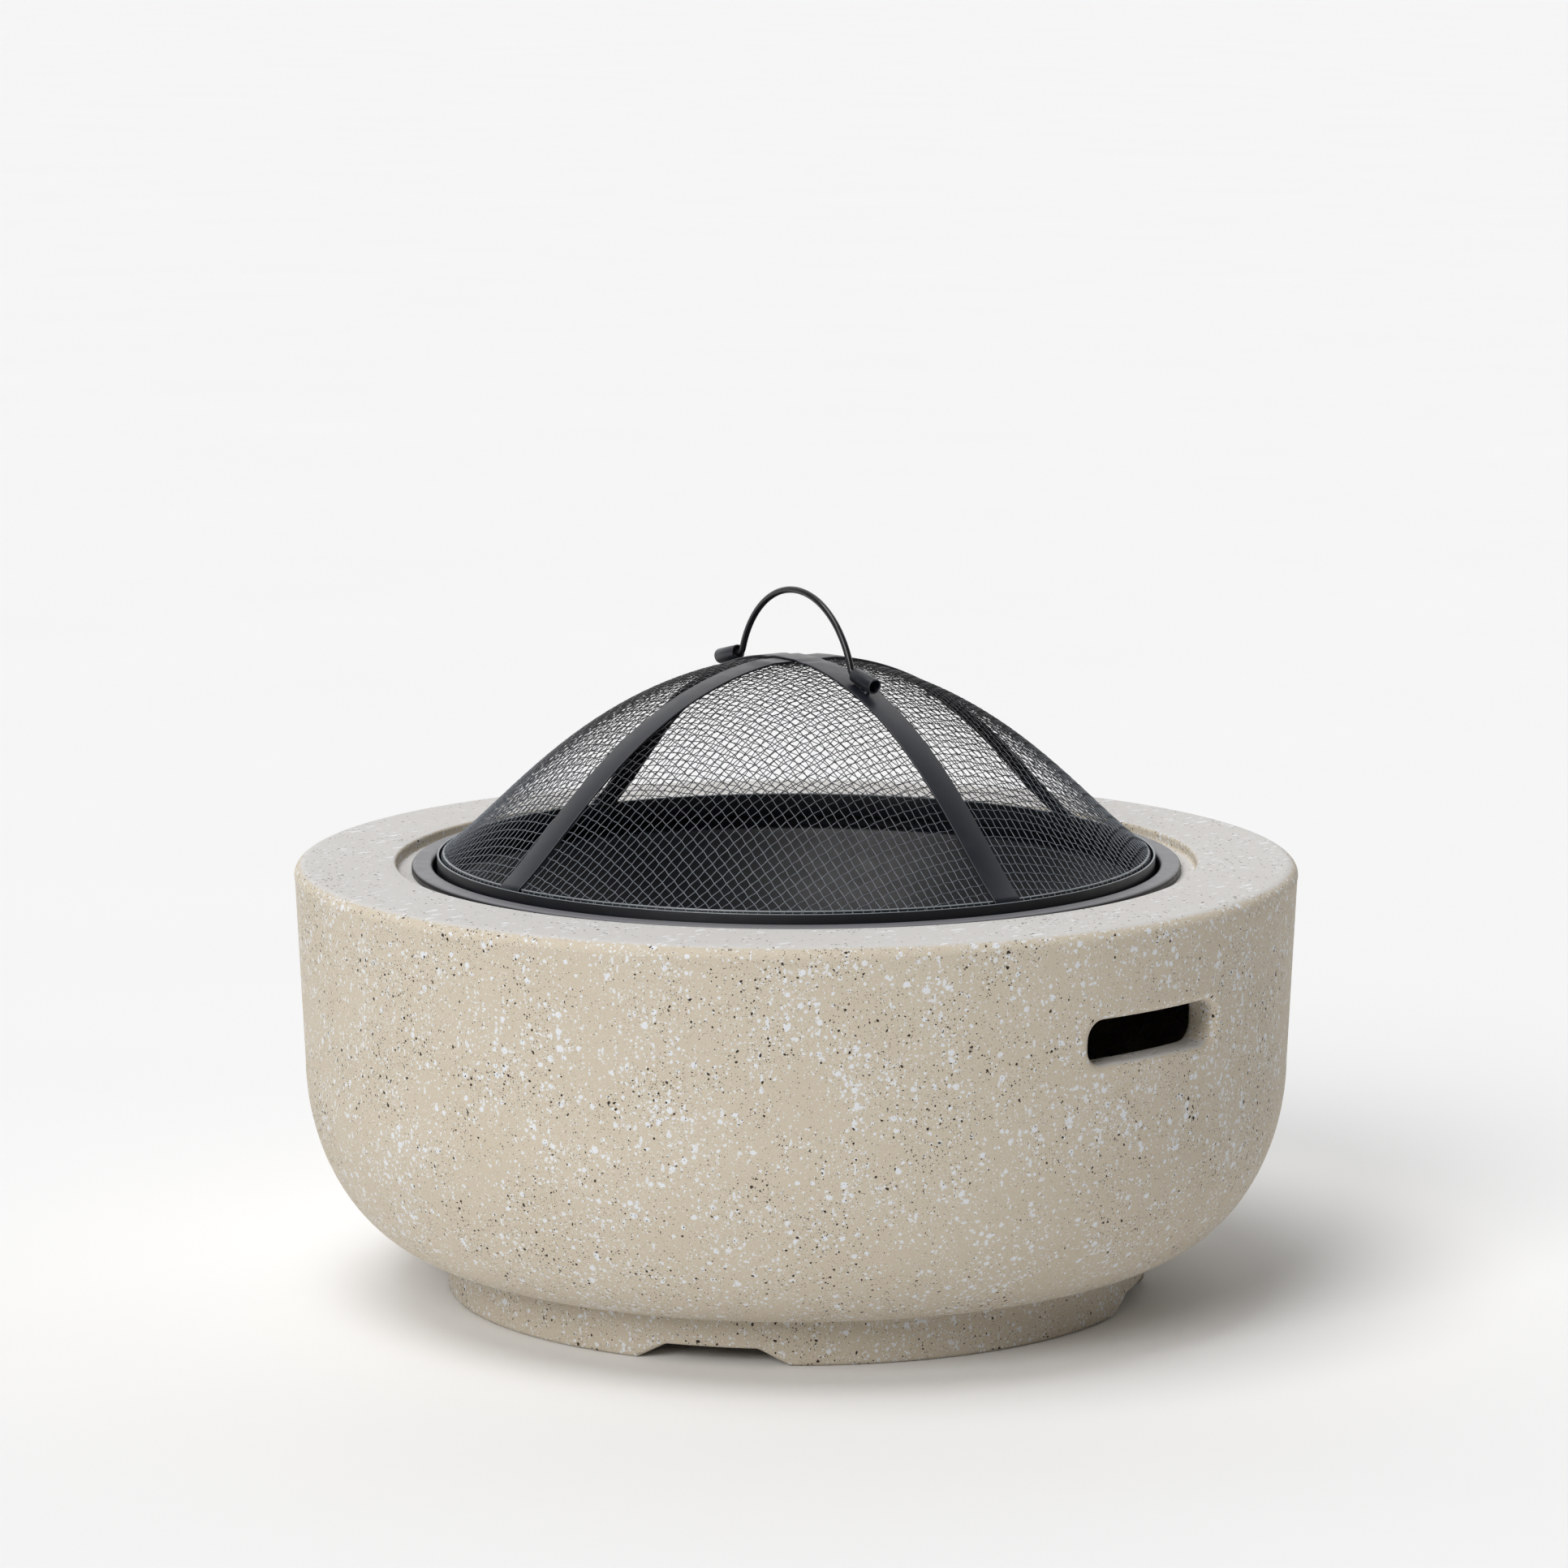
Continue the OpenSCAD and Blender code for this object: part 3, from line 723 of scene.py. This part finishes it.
def build_straps():
    section = strip_section(STRAP_W, STRAP_T, 0.4 * MM)
    for name, node, turn, raise_by in (("lower_strap", "cross_strap", STRAP_ANGLE, 0.0),
                                       ("upper_strap", "handle_strap", 0.0, STRAP_T)):
        verts, faces = sweep(strap_path(raise_by), section, up=Vector((-1, 0, 0)))
        matrix = Matrix.Rotation(GUARD_TURN + turn, 4, "Z")
        verts, faces = turned((verts, faces), matrix)
        place(mesh_object(name, verts, faces, FRAME_STEEL), "guard", "coated_steel", node)


def mesh_wander(x, y):
    """How far the weave strays sideways at a place: slow drift plus small irregularities."""
    slow = noise.noise_vector(Vector((x, y, 0)) * 26)
    fine = noise.noise_vector(Vector((x, y, 7)) * 110)
    return (slow.x * 0.8 + fine.x * 0.16) * MM, (slow.y * 0.8 + fine.y * 0.16) * MM


def weave_wire(index, family):
    """One crimped wire of the woven mesh, in the guard's own frame."""
    across = index * MESH_PITCH
    reach = MESH_R - 0.4 * MM
    if abs(across) > reach - 3 * MM:
        return None
    end = math.sqrt(reach ** 2 - across ** 2)
    step = MESH_PITCH / 3
    count = int(end // step)
    path = []
    for k in range(-count, count + 1):
        along = k * step
        x, y = (along, across) if family == 0 else (across, along)
        dx, dy = mesh_wander(x, y)
        crossing = along / MESH_PITCH
        phase = math.cos(math.pi * (crossing + index))
        over = phase * (1 if family == 0 else -1)
        px, py = x + dx, y + dy
        r = min(math.hypot(px, py), reach)
        slope = (dome_z(r + 0.5 * MM) - dome_z(r - 0.5 * MM if r > 0.5 * MM else 0)) / MM
        lean = 1 / math.sqrt(1 + slope * slope)
        path.append(Vector((px, py, dome_z(r) - 0.10 * MM + over * MESH_CRIMP * lean)))
    for sign in (-1, 1):
        tip = path[0] if sign < 0 else path[-1]
        flat = Vector((tip.x, tip.y, 0))
        rim = flat.normalized() * (MESH_R - 0.25 * MM)
        ends = [Vector((rim.x, rim.y, BAND_HIGH.z - 0.6 * MM)), Vector((rim.x, rim.y, BAND_HIGH.z - 4 * MM))]
        path = list(reversed(ends)) + path if sign < 0 else path + ends
    return path


def build_weave():
    section = round_section(MESH_WIRE_R, 5)
    widest = int(MESH_R / MESH_PITCH)
    for family, label in ((0, "warp"), (1, "weft")):
        for half, side in ((range(-widest, 0), "near"), (range(0, widest + 1), "far")):
            parts = []
            for index in half:
                path = weave_wire(index + 0.5, family)
                if path:
                    parts.append(sweep(path, section))
            verts, faces = turned(merged(parts), GUARD_FRAME)
            obj = mesh_object(f"mesh_{label}_{side}", verts, faces, WIRE_BLACK)
            place(obj, "guard", "guard_mesh", "mesh_dome")


def build_tubes():
    """The two pivot tubes with soft ends, and the weld bead under each."""
    rim = 0.35 * MM
    half = TUBE_LEN / 2
    outline = arc(TUBE_R - rim, half - rim, rim, rim, 0, 90, 3)
    outline += arc(TUBE_BORE_R + rim, half - rim, rim, rim, 90, 180, 3)
    outline += arc(TUBE_BORE_R + rim, rim - half, rim, rim, 180, 270, 3)
    outline += arc(TUBE_R - rim, rim - half, rim, rim, 270, 360, 3)
    tube = revolve_mesh(outline, 40)
    for sign, side in ((1, "right"), (-1, "left")):
        lean = Matrix.Rotation(sign * (math.pi / 2 + TUBE_TILT), 4, "Y")
        stand = Matrix.Translation((sign * TUBE_X, 0, TUBE_Z)) @ lean
        verts, faces = turned(tube, GUARD_FRAME @ stand)
        obj = mesh_object(f"{side}_hinge_tube", verts, faces, FRAME_STEEL)
        place(obj, "guard", "coated_steel", f"{side}_pivot_tube")
        build_weld(sign, side)


def build_weld(sign, side):
    """A lumpy bead drawn up from the strap to the tube."""
    low = dome_z(TUBE_X) + MESH_T + STRAP_T - 0.5 * MM
    high = TUBE_Z - TUBE_R + 1.2 * MM
    steps, around = 8, 24
    rings, verts = [], []
    for i in range(steps + 1):
        t = i / steps
        waist = 1 - 0.32 * math.sin(math.pi * t)
        for j in range(around):
            turn = 2 * math.pi * j / around
            lump = 1 + 0.16 * noise.noise(Vector((math.cos(turn) * 1.6, math.sin(turn) * 1.6, t * 3 + sign)))
            x = TUBE_X + 4.6 * MM * waist * lump * math.cos(turn)
            drop = -(x - TUBE_X) * (0.36 * (1 - t) + 0.24 * t)
            verts.append(Vector((sign * x, 2.6 * MM * waist * lump * math.sin(turn), low + (high - low) * t + drop)))
        rings.append(range(i * around, (i + 1) * around))
    faces = [(a[k], a[(k + 1) % around], b[(k + 1) % around], b[k])
             for a, b in zip(rings, rings[1:]) for k in range(around)]
    faces += [list(rings[0]), list(rings[-1])]
    verts = [GUARD_FRAME @ v for v in verts]
    obj = mesh_object(f"{side}_weld_bead", verts, faces, FRAME_STEEL)
    place(obj, "guard", "coated_steel", f"{side}_tube_weld")


# ---------------------------------------------------------------- bail handle


def handle_path():
    """Centre line of the handle's wire in the guard's X-Z plane: arch, a bend at each foot and the two pins."""
    arch_z = HANDLE_TOP_Z - HANDLE_WIRE_R - ARCH_R
    bend_z = PIVOT_Z + PIN_BEND_R
    bend_x = math.sqrt((ARCH_R + PIN_BEND_R) ** 2 - (bend_z - arch_z) ** 2)
    turn = math.degrees(math.atan2(bend_z - arch_z, bend_x))
    right = arc(0, arch_z, ARCH_R, ARCH_R, 90, turn, 36)
    right += arc(bend_x, bend_z, PIN_BEND_R, PIN_BEND_R, 180 + turn, 270, 12)[1:]
    right += [(bend_x + (PIN_END_X - bend_x) * k / 4, PIVOT_Z) for k in range(1, 5)]
    left = [(-x, z) for x, z in reversed(right[1:])]
    return [Vector((x, 0, z)) for x, z in left + right]


def build_handle():
    verts, faces = sweep(handle_path(), round_section(HANDLE_WIRE_R, 20), up=Vector((0, 1, 0)))
    verts, faces = turned((verts, faces), GUARD_FRAME)
    place(mesh_object("wire_bail", verts, faces, HANDLE_BLACK), "handle", "coated_steel", "bail_handle")


# ---------------------------------------------------------------- log grate


def build_grate():
    """The grate's CAD pieces keep their shape and get a dull, scaled finish."""
    for name, node in frame["nodes"].items():
        if name.startswith("grate_"):
            node.data.materials.clear()
            node.data.materials.append(GRATE_BLACK)


build_stone()
build_bowl()
build_hoops()
build_straps()
build_weave()
build_tubes()
build_handle()
build_grate()

# ---------------------------------------------------------------- floor, light and camera

floor_size = 100.0
floor_mesh = bpy.data.meshes.new("floor")
corner = floor_size / 2
floor_mesh.from_pydata([(-corner, -corner, 0), (corner, -corner, 0), (corner, corner, 0), (-corner, corner, 0)],
                       [], [(0, 1, 2, 3)])
floor = bpy.data.objects.new("floor", floor_mesh)
bpy.context.scene.collection.objects.link(floor)
floor_shader = Shader("pale_floor")
floor_shader.link(floor_shader.mix(floor_shader.noise(3.0), srgb(243, 243, 243), srgb(240, 240, 240)),
                  floor_shader.bsdf.inputs["Base Color"])
floor_shader.bsdf.inputs["Roughness"].default_value = 0.9
floor.data.materials.append(floor_shader.material)

CAMERA_AZIMUTH = 46.0
CAMERA_DISTANCE = 3.597
CAMERA_HEIGHT = 0.8746
CAMERA_PITCH = 9.012
FOCAL_PX = 7500.0
FRAME_PX = 1932.0
WORLD_BRIGHT = 1.05
WORLD_DIM = 0.08
AXIS_OFFSET_PX = 15.0


def studio_position(azimuth, distance, height):
    """A place seen from the object at an azimuth measured like the camera's."""
    a = math.radians(azimuth)
    return Vector((distance * math.sin(a), -distance * math.cos(a), height))


def softbox(name, azimuth, elevation, spread, strength):
    """A distant soft light: azimuth as the camera's, elevation and apparent width in degrees."""
    light = bpy.data.lights.new(name, "SUN")
    light.angle = math.radians(spread)
    light.energy = strength
    obj = bpy.data.objects.new(name, light)
    rise = math.radians(elevation)
    toward_light = studio_position(azimuth, math.cos(rise), math.sin(rise))
    obj.rotation_euler = toward_light.to_track_quat("Z", "Y").to_euler()
    obj.location = toward_light * 4
    bpy.context.scene.collection.objects.link(obj)
    return obj


camera_data = bpy.data.cameras.new("camera")
camera = bpy.data.objects.new("camera", camera_data)
bpy.context.scene.collection.objects.link(camera)
camera_data.sensor_width = 36.0
camera_data.lens = FOCAL_PX / FRAME_PX * 36.0
camera_data.shift_x = -AXIS_OFFSET_PX / FRAME_PX
camera.location = studio_position(CAMERA_AZIMUTH, CAMERA_DISTANCE, CAMERA_HEIGHT)
look = Vector((0, 0, CAMERA_HEIGHT - CAMERA_DISTANCE * math.tan(math.radians(CAMERA_PITCH)))) - camera.location
camera.rotation_euler = look.to_track_quat("-Z", "Y").to_euler()
bpy.context.scene.camera = camera

world = bpy.data.worlds.new("studio")
bpy.context.scene.world = world
world.use_nodes = True
sky = world.node_tree.nodes
direction = sky.new("ShaderNodeTexCoord")
toward = sky.new("ShaderNodeVectorMath")
toward.operation = "DOT_PRODUCT"
toward.inputs[1].default_value = studio_position(CAMERA_AZIMUTH + 180, 1.0, 0.1).normalized()
brightness = sky.new("ShaderNodeMapRange")
brightness.interpolation_type = "SMOOTHSTEP"
for key, value in (("From Min", 0.1), ("From Max", 0.92), ("To Min", WORLD_DIM), ("To Max", WORLD_BRIGHT)):
    brightness.inputs[key].default_value = value
world.node_tree.links.new(direction.outputs["Generated"], toward.inputs[0])
world.node_tree.links.new(toward.outputs["Value"], brightness.inputs["Value"])
world.node_tree.links.new(brightness.outputs["Result"], sky["Background"].inputs["Strength"])
sky["Background"].inputs["Color"].default_value = (1.0, 1.0, 1.0, 1.0)
bpy.context.scene.view_settings.view_transform = "Standard"

softbox("overhead", CAMERA_AZIMUTH - 60, 74, 34, 1.45)
softbox("key", CAMERA_AZIMUTH - 31, 33, 32, 1.68)
